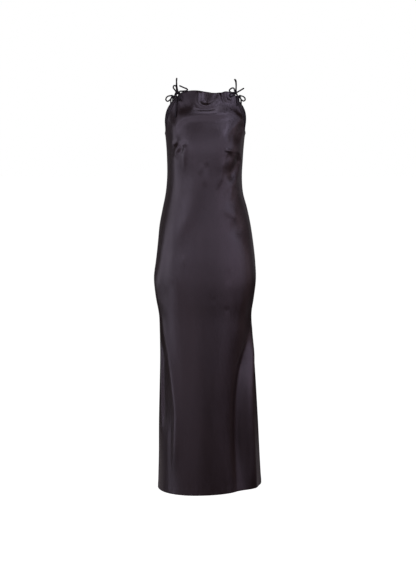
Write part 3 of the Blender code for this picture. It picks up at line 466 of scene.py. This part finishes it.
def drift(turns, heights):
    """Slight uneven ripples, long and upright, that fade out towards the side seams."""
    around = np.radians(turns) * DRIFT_RADIUS
    out = np.empty_like(turns)
    for index, (across, height) in enumerate(zip(around, heights)):
        broad = noise.noise(Vector((across * DRIFT_BROAD[0], height * DRIFT_BROAD[1], 1.7)))
        fine = noise.noise(Vector((across * DRIFT_FINE[0], height * DRIFT_FINE[1], 9.2)))
        out[index] = broad + 0.35 * fine
    return out * DRIFT_HEIGHT * smooth_step(np.abs(from_seam(turns)) / DRIFT_FADE)


def hem_height(turns):
    return HEM_HEIGHT + HEM_LIFT * np.sin(np.radians(turns))


def seam_relief(turns):
    """The two side seams: a shallow groove where front and back are sewn together."""
    off_seam = np.radians(from_seam(turns)) * SEAM_RADIUS
    return -SEAM_DEPTH * np.exp(-((off_seam / SEAM_HALF_WIDTH) ** 2) / 2)


def hem_relief(turns, heights):
    """The turned hem: a hair thicker, drawn in along its line of stitches, with small puckers."""
    up = heights - hem_height(turns)
    past_line = up - HEM_BAND
    band = smooth_step(-past_line / HEM_BAND_EDGE) * HEM_THICKER
    line = -STITCH_DEPTH * np.exp(-((past_line / STITCH_HALF_WIDTH) ** 2) / 2)
    puckers = np.sin(np.radians(turns) * 46) * np.sin(np.radians(turns) * 17 + 1.0)
    return band + line + puckers * PUCKER_HEIGHT * np.exp(-((past_line / PUCKER_REACH) ** 2) / 2)


def outward(face, turns, heights):
    """Unit normals of a face, which is a function of turns and heights."""
    round_it = face(turns + SMALL_TURN, heights) - face(turns - SMALL_TURN, heights)
    up_it = face(turns, heights + SMALL_HEIGHT) - face(turns, heights - SMALL_HEIGHT)
    normal = np.cross(round_it, up_it)
    return normal / np.linalg.norm(normal, axis=-1, keepdims=True)


def base_face(turns, heights):
    """The outer face with its rounds and large folds, nearly as the solids have it."""
    rise = rounds_relief(turns, heights) + folds_relief(FOLDS, turns, heights)
    return plain_tube(turns, heights) + outward(plain_tube, turns, heights) * rise[..., None]


def base_normal(turns, heights):
    return outward(base_face, turns, heights)


def cloth_face(turns, heights):
    """The outer face that shows, with the creases, seams and hem."""
    rise = folds_relief(CREASES, turns, heights)
    rise += drift(turns, heights) + hem_relief(turns, heights) + seam_relief(turns)
    return base_face(turns, heights) + base_normal(turns, heights) * rise[..., None]


def panel_turns(edge_rows, corners):
    first, last = edge_rows[0][0], edge_rows[-1][0]
    return np.concatenate([
        np.linspace(first, corners[0], ARMHOLE_COLUMNS + 1)[:-1],
        np.linspace(corners[0], corners[1], NECK_COLUMNS + 1),
        np.linspace(corners[1], last, ARMHOLE_COLUMNS + 1)[1:],
    ])


def edge_heights(turns, edge_rows, corners):
    """The cut edge in three smooth stretches that meet at the two corners."""
    table = named_columns(EDGE_COLUMNS, edge_rows)
    heights = np.empty_like(turns)
    stretches = (
        (turns <= corners[0], table["turn"] <= corners[0]),
        ((turns >= corners[0]) & (turns <= corners[1]),
         (table["turn"] >= corners[0]) & (table["turn"] <= corners[1])),
        (turns >= corners[1], table["turn"] >= corners[1]),
    )
    for here, rows in stretches:
        heights[here] = smooth_curve(turns[here], table["turn"][rows], table["height"][rows])
    return heights


def panel_grid(edge_rows, corners):
    """Turns and heights of a panel's points, row by row from its cut edge to the hem."""
    turns = panel_turns(edge_rows, corners)
    even = np.linspace(turns[0], turns[-1], len(turns))
    top = edge_heights(turns, edge_rows, corners)
    rows = []
    for step in np.linspace(0.0, 1.0, SHAPED_ROWS, endpoint=False):
        rows.append((turns, top + (SHAPED_TO - top) * step))
    for step in np.linspace(0.0, 1.0, HANGING_ROWS + 1):
        share = step * (0.62 + 0.38 * step)
        level_turns = turns + (even - turns) * smooth_step(step * 2.5)
        rows.append((level_turns, SHAPED_TO + (hem_height(level_turns) - SHAPED_TO) * share))
    return np.array([row[0] for row in rows]), np.array([row[1] for row in rows])


def add_piece(name, data, node):
    piece = bpy.data.objects.new(name, data)
    bpy.context.scene.collection.objects.link(piece)
    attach(piece, "root")
    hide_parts(node)
    return piece


def grid_normals(points):
    across = np.gradient(points, axis=1)
    down = np.gradient(points, axis=0)
    normal = np.cross(down, across)
    return normal / np.linalg.norm(normal, axis=-1, keepdims=True)


def add_panel(name, node, edge_rows, corners):
    """A sheet of cloth: an outer and an inner layer of points, joined all round the rim."""
    turns, heights = panel_grid(edge_rows, corners)
    outer = cloth_face(turns.ravel(), heights.ravel()).reshape(*turns.shape, 3)
    inner = outer - grid_normals(outer) * CLOTH_WALL
    row_count, column_count = turns.shape
    layer_size = row_count * column_count
    index = np.arange(layer_size).reshape(row_count, column_count)
    a, b, c, d = index[:-1, :-1], index[1:, :-1], index[1:, 1:], index[:-1, 1:]
    outside = np.stack([a, b, c, d], -1).reshape(-1, 4)
    inside = np.stack([d, c, b, a], -1).reshape(-1, 4) + layer_size
    rim = np.concatenate([index[0, :-1], index[:-1, -1], index[-1, :0:-1], index[:0:-1, 0]])
    after = np.roll(rim, -1)
    rims = np.stack([rim, after, after + layer_size, rim + layer_size], -1)
    mesh = bpy.data.meshes.new(name)
    points = np.concatenate([outer.reshape(-1, 3), inner.reshape(-1, 3)])
    faces = np.concatenate([outside, inside, rims])
    mesh.from_pydata(points.tolist(), [], faces.tolist())
    mesh.shade_smooth()
    mesh.set_sharp_from_angle(angle=math.radians(60))
    flat = np.stack([np.radians(turns) * FLAT_RADIUS, heights], -1).reshape(-1, 2)
    flat = np.concatenate([flat, flat])
    mesh.materials.append(satin)
    # The inner layer takes the lightened wrong side, whose colour paints in light that doesn't reach the
    # inside.
    mesh.materials.append(wrong_side_painted_light)
    side = np.zeros(len(faces), np.int32)
    side[len(outside):len(outside) + len(inside)] = 1
    mesh.polygons.foreach_set("material_index", side)
    layer = mesh.uv_layers.new(name="cut")
    loops = np.empty(len(mesh.loops), np.int32)
    mesh.loops.foreach_get("vertex_index", loops)
    layer.data.foreach_set("uv", flat[loops].astype(np.float32).ravel())
    return add_piece(name, mesh, node)


def add_tube(name, points, radius, node, radii=None, closed=False):
    """A round cord: rings of points square to a line, with their sides carried along it."""
    points = np.array(points, float)
    if closed:
        along = np.roll(points, -1, axis=0) - np.roll(points, 1, axis=0)
    else:
        along = np.gradient(points, axis=0)
    along /= np.linalg.norm(along, axis=1, keepdims=True)
    side = np.cross(along[0], (0.0, 0.0, 1.0) if abs(along[0][2]) < 0.9 else (1.0, 0.0, 0.0))
    sides = []
    for direction in along:
        side = side - direction * side.dot(direction)
        side /= np.linalg.norm(side)
        sides.append(side)
    sides = np.array(sides)
    others = np.cross(along, sides)
    angles = np.linspace(0.0, 2 * math.pi, CORD_SIDES, endpoint=False)
    sizes = radius * (np.ones(len(points)) if radii is None else np.array(radii))
    rings = (
        points[:, None]
        + sides[:, None] * (np.cos(angles)[None, :, None] * sizes[:, None, None])
        + others[:, None] * (np.sin(angles)[None, :, None] * sizes[:, None, None])
    )
    ring_count = len(points)
    index = np.arange(ring_count * CORD_SIDES).reshape(ring_count, CORD_SIDES)
    lower = index if closed else index[:-1]
    upper = np.roll(index, -1, axis=0) if closed else index[1:]
    walls = np.stack([lower, np.roll(lower, -1, 1), np.roll(upper, -1, 1), upper], -1).reshape(-1, 4)
    faces = walls.tolist()
    if not closed:
        faces += [index[0, ::-1].tolist(), index[-1].tolist()]
    mesh = bpy.data.meshes.new(name)
    mesh.from_pydata(rings.reshape(-1, 3).tolist(), [], faces)
    mesh.shade_smooth()
    mesh.set_sharp_from_angle(angle=math.radians(50))
    mesh.materials.append(rouleau)
    return add_piece(name, mesh, node)


def smooth_route(points, spacing):
    points = np.array(points, float)
    lengths = np.concatenate([[0.0], np.cumsum(np.linalg.norm(np.diff(points, axis=0), axis=1))])
    count = max(3, round(lengths[-1] / spacing) + 1)
    return smooth_curve(np.linspace(0.0, lengths[-1], count), lengths, points)


def edge_line(turns, heights):
    """The middle line of a rolled cord that sits on a cut edge."""
    face = cloth_face(turns, heights)
    normal = base_normal(turns, heights)
    along = np.gradient(face, axis=0)
    along /= np.linalg.norm(along, axis=1, keepdims=True)
    off_the_cloth = np.cross(normal, along)
    off_the_cloth *= np.sign(off_the_cloth[:, 2:3])
    return face - normal * CAD_WALL / 2 + off_the_cloth * (EDGE_RADIUS * EDGE_SEAT)


def knot_place(turn, edge_rows, corners):
    """A knot's middle, up and a little out from its corner of the cloth."""
    turns = np.array([turn])
    heights = edge_heights(turns, edge_rows, corners)
    corner = (base_face(turns, heights) - base_normal(turns, heights) * CAD_WALL / 2)[0]
    direction = np.array([math.copysign(0.45, corner[0]), 0.0, 0.89])
    return corner + direction / np.linalg.norm(direction) * (KNOT_RADIUS + 2 * SEAM_GAP)


def cloth_depth(across, height, behind):
    """How far back the outer face lies at a place seen from the front or from behind."""
    half_width = section_at("left" if across > 0 else "right", np.array([height]))[0]
    square = section_at("back_square" if behind else "front_square", np.array([height]))[0]
    turn = math.degrees(math.asin((abs(across) / half_width) ** (square / 2)))
    turn = math.copysign(180.0 - turn if behind else turn, across)
    return base_face(np.array([turn]), np.array([height]))[0][1]


def hung_point(knot, offset):
    """A point of a strand: so far across and up from its knot, and so far out from the cloth there."""
    across, out, up = np.array(offset) * MILLIMETRE
    behind = knot[1] > 0
    height = knot[2] + up
    reached = max(-TIE_REACH, min(TIE_REACH, knot[0] + across))
    depth = cloth_depth(reached, height, behind)
    return np.array([knot[0] + across, depth + out if behind else depth - out, height])


def strand_points(knot, strand, spacing):
    """A strand's middle line, out of its knot along its route and, for a loop, back into it."""
    outwards = 1.0 if knot[1] > 0 else -1.0
    ends = []
    for across, out, up in filter(None, (strand["leaves"], strand["returns"])):
        direction = np.array([across, out * outwards, up])
        direction /= np.linalg.norm(direction)
        near = KNOT_RADIUS + 2 * SEAM_GAP
        ends.append((knot + direction * near * 0.75, knot + direction * (near + CORD_RADIUS)))
    route = [hung_point(knot, offset) for offset in strand["route"]]
    middle = smooth_route([ends[0][1], *route, *[end[1] for end in ends[1:]]], spacing)
    return np.array([ends[0][0], *middle, *[end[0] for end in ends[1:]]])


# ---- Materials ------------------------------------------------------------------------------------
def satin_material(name, colour, shine, roughness, streaks, weave):
    """Satin: a dark body colour, a broad soft gloss, fine threads and faint upright streaks."""
    made = bpy.data.materials.new(name)
    made.use_nodes = True
    tree = made.node_tree
    shader = tree.nodes["Principled BSDF"]
    shader.inputs["Metallic"].default_value = 0.0
    shader.inputs["Specular IOR Level"].default_value = shine
    shader.inputs["Specular Tint"].default_value = (0.89, 0.78, 1.0, 1.0)
    shader.inputs["Sheen Weight"].default_value = 0.03
    shader.inputs["Sheen Roughness"].default_value = 0.45
    shader.inputs["Sheen Tint"].default_value = (0.62, 0.52, 0.66, 1.0)

    def node(kind, **settings):
        found = tree.nodes.new(kind)
        for key, value in settings.items():
            if key in found.inputs:
                found.inputs[key].default_value = value
            else:
                setattr(found, key, value)
        return found

    place = node("ShaderNodeTexCoord")
    stretched = node("ShaderNodeMapping")
    stretched.inputs["Scale"].default_value = (1.0, 1.0, 0.16)
    tree.links.new(place.outputs["Object"], stretched.inputs["Vector"])
    long_noise = node("ShaderNodeTexNoise", Scale=70.0, Detail=4.0, Roughness=0.55)
    tree.links.new(stretched.outputs["Vector"], long_noise.inputs["Vector"])
    cloud = node("ShaderNodeTexNoise", Scale=9.0, Detail=3.0, Roughness=0.5)
    tree.links.new(place.outputs["Object"], cloud.inputs["Vector"])

    tone = node("ShaderNodeValToRGB")
    tone.color_ramp.elements[0].position = 0.30
    tone.color_ramp.elements[1].position = 0.70
    tone.color_ramp.elements[0].color = (*[c * 0.88 for c in colour], 1.0)
    tone.color_ramp.elements[1].color = (*[c * 1.12 for c in colour], 1.0)
    tree.links.new(cloud.outputs["Fac"], tone.inputs["Fac"])
    tree.links.new(tone.outputs["Color"], shader.inputs["Base Color"])

    gloss = node("ShaderNodeMapRange")
    gloss.inputs["From Min"].default_value = 0.3
    gloss.inputs["From Max"].default_value = 0.7
    gloss.inputs["To Min"].default_value = roughness - 0.03
    gloss.inputs["To Max"].default_value = roughness + 0.03
    tree.links.new(long_noise.outputs["Fac"], gloss.inputs["Value"])
    tree.links.new(gloss.outputs["Result"], shader.inputs["Roughness"])

    threads = node("ShaderNodeTexWave", Scale=900.0, Distortion=1.2, Detail=1.0)
    threads.wave_type = "BANDS"
    threads.bands_direction = "Z"
    tree.links.new(place.outputs["Object"], threads.inputs["Vector"])
    streak_bump = node("ShaderNodeBump", Strength=streaks, Distance=0.0012)
    tree.links.new(long_noise.outputs["Fac"], streak_bump.inputs["Height"])
    thread_bump = node("ShaderNodeBump", Strength=weave, Distance=0.00008)
    tree.links.new(threads.outputs["Fac"], thread_bump.inputs["Height"])
    tree.links.new(streak_bump.outputs["Normal"], thread_bump.inputs["Normal"])
    tree.links.new(thread_bump.outputs["Normal"], shader.inputs["Normal"])
    return made


satin = satin_material(
    "satin_cloth", (0.0110, 0.0056, 0.0050), shine=0.80, roughness=0.33, streaks=0.10, weave=0.25,
)
# The matte wrong side of the satin, given a colour far lighter than the face: partly its own duller finish,
# mostly painted light standing in for the light that the lamps don't bring inside the dress.
wrong_side_painted_light = satin_material(
    "satin_wrong_side_painted_light", (0.070, 0.058, 0.068), shine=0.40, roughness=0.52, streaks=0.10, weave=0.35,
)
rouleau = satin_material(
    "rouleau_cord", (0.008, 0.006, 0.007), shine=0.40, roughness=0.50, streaks=0.25, weave=0.30,
)

# ---- Camera ---------------------------------------------------------------------------------------
CAMERA_PLACE = (0.0065, -3.8, -0.088)
CAMERA_LOOKS_DOWN = 8.636  # degrees
CAMERA_LENS = 73.95  # millimetres, on a sensor 36 mm wide
CAMERA_SENSOR = 36.0
camera_data = bpy.data.cameras.new("photo_camera")
camera = bpy.data.objects.new("photo_camera", camera_data)
bpy.context.scene.collection.objects.link(camera)
camera_data.lens = CAMERA_LENS
camera_data.sensor_width = CAMERA_SENSOR
camera.location = CAMERA_PLACE
camera.rotation_euler = (math.radians(90 - CAMERA_LOOKS_DOWN), 0.0, 0.0)
camera_data.clip_end = 200.0
bpy.context.scene.camera = camera

# ---- Pieces ---------------------------------------------------------------------------------------
front = add_panel("front_cloth", "front_panel", FRONT_EDGE_ROWS, FRONT_CORNERS)
back = add_panel("back_cloth", "back_panel", BACK_EDGE_ROWS, BACK_CORNERS)


def add_corded_edges():
    """Rolled edges along both necks, and one round each armhole from front corner to back corner."""
    lines = {}
    for panel, edge_rows, corners in (
        ("front", FRONT_EDGE_ROWS, FRONT_CORNERS), ("back", BACK_EDGE_ROWS, BACK_CORNERS),
    ):
        turns = panel_turns(edge_rows, corners)
        heights = edge_heights(turns, edge_rows, corners)
        low = turns <= corners[0] + 1e-9
        neck = (turns >= corners[0] - 1e-9) & (turns <= corners[1] + 1e-9)
        high = turns >= corners[1] - 1e-9
        lines[panel] = [edge_line(turns[part], heights[part]) for part in (low, neck, high)]
    add_tube("front_neck_rouleau", lines["front"][1], EDGE_RADIUS, "front_neck_cord")
    add_tube("back_neck_rouleau", lines["back"][1], EDGE_RADIUS, "back_neck_cord")
    right = np.concatenate([lines["front"][0][::-1], lines["back"][2][::-1]])
    left = np.concatenate([lines["front"][2], lines["back"][0]])
    add_tube("right_armhole_rouleau", right, EDGE_RADIUS, "right_armhole_cord")
    add_tube("left_armhole_rouleau", left, EDGE_RADIUS, "left_armhole_cord")


add_corded_edges()

KNOTS = {
    "right_front": knot_place(FRONT_CORNERS[0], FRONT_EDGE_ROWS, FRONT_CORNERS),
    "left_front": knot_place(FRONT_CORNERS[1], FRONT_EDGE_ROWS, FRONT_CORNERS),
    "left_back": knot_place(BACK_CORNERS[0], BACK_EDGE_ROWS, BACK_CORNERS),
    "right_back": knot_place(BACK_CORNERS[1], BACK_EDGE_ROWS, BACK_CORNERS),
}


def add_knot(name, middle, node, turn):
    """A cord wound over and under itself into a small firm knot."""
    steps = np.linspace(0.0, 2 * math.pi, KNOT_STEPS + 1)[:-1]
    lobe = 2.0 + np.cos(3 * steps)
    across = lobe * np.cos(2 * steps + turn)
    upward = lobe * np.sin(2 * steps + turn)
    points = np.stack([across, np.sin(3 * steps) * 1.5, upward], -1) * KNOT_SIZE
    add_tube(name, points + middle, KNOT_CORD_RADIUS, node, closed=True)


def add_bow(name, strands, turn):
    """A knot with its two loops and its two tails, each tail a free cord."""
    knot = KNOTS[name]
    add_knot(name + "_knot_wound", knot, name + "_knot", turn)
    for row in strands:
        strand = dict(zip(STRAND_COLUMNS, row))
        points = strand_points(knot, strand, STRAND_SPACING)
        free = strand["returns"] is None
        radii = np.ones(len(points))
        if free:
            radii[-1] = TAIL_TIP
        node = name + "_" + strand["name"]
        piece = add_tube(node + "_rouleau", points, CORD_RADIUS, node, radii)


add_bow("right_front", RIGHT_FRONT_STRANDS, 0.3)
add_bow("left_front", LEFT_FRONT_STRANDS, 1.1)
add_bow("right_back", RIGHT_BACK_STRANDS, 2.0)
add_bow("left_back", LEFT_BACK_STRANDS, 0.8)

for side, route in (("right", RIGHT_STRAP_ROUTE), ("left", LEFT_STRAP_ROUTE)):
    line = smooth_route([KNOTS[side + "_front"], *route, KNOTS[side + "_back"]], STRAP_SPACING)
    add_tube(side + "_strap_cord", line, CORD_RADIUS, side + "_strap")

# ---- Stage and light ------------------------------------------------------------------------------
FLOOR_HEIGHT = -2.70
FLOOR_HALF = 40.0
STRAY_GLOW = 0.02  # light from all round the dress, beside the panels
floor_mesh = bpy.data.meshes.new("studio_floor")
floor_corners = [(x * FLOOR_HALF, y * FLOOR_HALF, 0) for x, y in ((-1, -1), (1, -1), (1, 1), (-1, 1))]
floor_mesh.from_pydata(floor_corners, [], [(0, 1, 2, 3)])
floor = bpy.data.objects.new("studio_floor", floor_mesh)
floor.location = (0, 0, FLOOR_HEIGHT)
bpy.context.scene.collection.objects.link(floor)
floor_material = bpy.data.materials.new("pale_floor")
floor_material.use_nodes = True
floor_shader = floor_material.node_tree.nodes["Principled BSDF"]
floor_shader.inputs["Base Color"].default_value = (0.80, 0.80, 0.80, 1.0)
floor_shader.inputs["Roughness"].default_value = 1.0
floor_shader.inputs["Specular IOR Level"].default_value = 0.0
floor_shader.inputs["Emission Color"].default_value = (1.0, 1.0, 1.0, 1.0)
floor_shader.inputs["Emission Strength"].default_value = 1.0
floor_mesh.materials.append(floor_material)
floor.visible_diffuse = False
floor.visible_glossy = False

world = bpy.data.worlds.new("studio_world")
bpy.context.scene.world = world
world.use_nodes = True
tree = world.node_tree
background = tree.nodes["Background"]
background.inputs["Color"].default_value = (1.0, 1.0, 1.0, 1.0)
background.inputs["Strength"].default_value = 1.0
dim = tree.nodes.new("ShaderNodeBackground")
dim.inputs["Color"].default_value = (1.0, 0.78, 0.72, 1.0)
dim.inputs["Strength"].default_value = STRAY_GLOW
rays = tree.nodes.new("ShaderNodeLightPath")
mix = tree.nodes.new("ShaderNodeMixShader")
tree.links.new(rays.outputs["Is Camera Ray"], mix.inputs["Fac"])
tree.links.new(dim.outputs["Background"], mix.inputs[1])
tree.links.new(background.outputs["Background"], mix.inputs[2])
tree.links.new(mix.outputs["Shader"], tree.nodes["World Output"].inputs["Surface"])


def add_light(name, place, aim, size, glow, colour):
    """An area lamp that the camera doesn't see; glow is its power for each square metre."""
    data = bpy.data.lights.new(name, "AREA")
    data.shape = "RECTANGLE"
    data.size, data.size_y = size
    data.energy = glow * size[0] * size[1]
    data.color = colour
    lamp = bpy.data.objects.new(name, data)
    lamp.location = place
    lamp.rotation_euler = (Vector(aim) - Vector(place)).to_track_quat("-Z", "Y").to_euler()
    lamp.visible_camera = False
    bpy.context.scene.collection.objects.link(lamp)


PANEL_COLUMNS = ("name", "azimuth", "distance", "width", "low", "high", "glow", "colour")
PANEL_ROWS = (
    ("front_fill", 0, 3.2, 3.6, -0.35, 0.80, 3.0, (0.98, 0.94, 1.0)),
    ("upper_front_fill", 4, 3.2, 2.8, 0.80, 2.00, 1.3, (0.98, 0.95, 1.0)),
    ("upper_left_fill", -36, 3.2, 1.6, 0.80, 1.90, 1.6, (0.98, 0.95, 1.0)),
    ("upper_left_side", -62, 3.2, 1.8, 0.90, 2.30, 2.4, (0.98, 0.95, 1.0)),
    ("lower_front_fill", 0, 3.2, 3.4, -1.05, -0.35, 2.9, (1.0, 0.94, 1.0)),
    ("low_front_fill", -32, 3.2, 3.2, -2.30, -1.05, 1.2, (1.0, 0.88, 0.90)),
    ("low_right_front_fill", 22, 3.2, 1.5, -1.36, -1.05, 2.3, (1.0, 0.92, 0.98)),
    ("right_fill", 56, 3.2, 2.8, -0.55, 0.90, 3.5, (0.93, 0.91, 1.0)),
    ("lower_right_fill", 50, 3.2, 2.7, -1.28, -0.55, 3.6, (1.0, 0.87, 0.94)),
    ("left_front_fill", -46, 3.2, 1.9, -0.80, 0.80, 5.0, (0.97, 0.95, 1.0)),
    ("left_key", -84, 3.2, 2.0, -1.12, 0.10, 4.0, (0.98, 0.95, 1.0)),
    ("left_hip_side", -105, 3.2, 1.6, -1.42, -1.02, 3.2, (0.98, 0.95, 1.0)),
    ("left_low_key", -72, 3.2, 1.6, -2.05, -1.55, 6.2, (0.98, 0.95, 1.0)),
    ("left_low_side", -126, 3.2, 3.0, -2.60, -2.15, 1.3, (1.0, 0.90, 0.94)),
    ("upper_right_key", 34, 3.2, 1.7, 0.95, 2.20, 8.4, (0.92, 0.90, 1.0)),
    ("right_upper_warm_side", 92, 3.2, 1.8, -0.34, 0.90, 0.5, (1.0, 0.72, 0.68)),
    ("right_warm_side", 92, 3.2, 1.8, -1.10, -0.34, 2.0, (1.0, 0.80, 0.84)),
    ("right_low_warm_side", 92, 3.2, 1.8, -1.90, -1.10, 0.4, (1.0, 0.66, 0.58)),
    ("right_low_side", 126, 3.2, 2.6, -2.60, -2.05, 1.0, (1.0, 0.90, 0.94)),
    ("right_rim", 136, 3.2, 2.4, -1.00, 0.10, 0.6, (0.96, 0.88, 0.94)),
    ("left_rim", -136, 3.2, 2.4, -0.90, 0.20, 0.35, (0.96, 0.90, 0.96)),
    ("back_fill", 180, 3.4, 2.0, 0.00, 2.00, 3.0, (0.98, 0.97, 1.0)),
)
OVERHEAD_PLACE = (0.2, -2.5, 3.2)
OVERHEAD_SIZE = (2.2, 1.6)
OVERHEAD_GLOW = 8.0


def add_panel_light(name, azimuth, distance, width, low, high, glow, colour):
    """A soft panel at a compass angle: 0 in front of the dress, + to the wearer's left."""
    angle = math.radians(azimuth)
    middle = (low + high) / 2
    place = (distance * math.sin(angle), -distance * math.cos(angle), middle)
    add_light(name, place, (0, 0, middle), (width, high - low), glow, colour)


for panel_row in PANEL_ROWS:
    add_panel_light(**dict(zip(PANEL_COLUMNS, panel_row)))
add_light("overhead_key", OVERHEAD_PLACE, (0, 0, -0.1), OVERHEAD_SIZE, OVERHEAD_GLOW, (0.96, 0.94, 1.0))

bpy.context.scene.view_settings.view_transform = "Standard"

bpy.context.view_layer.update()
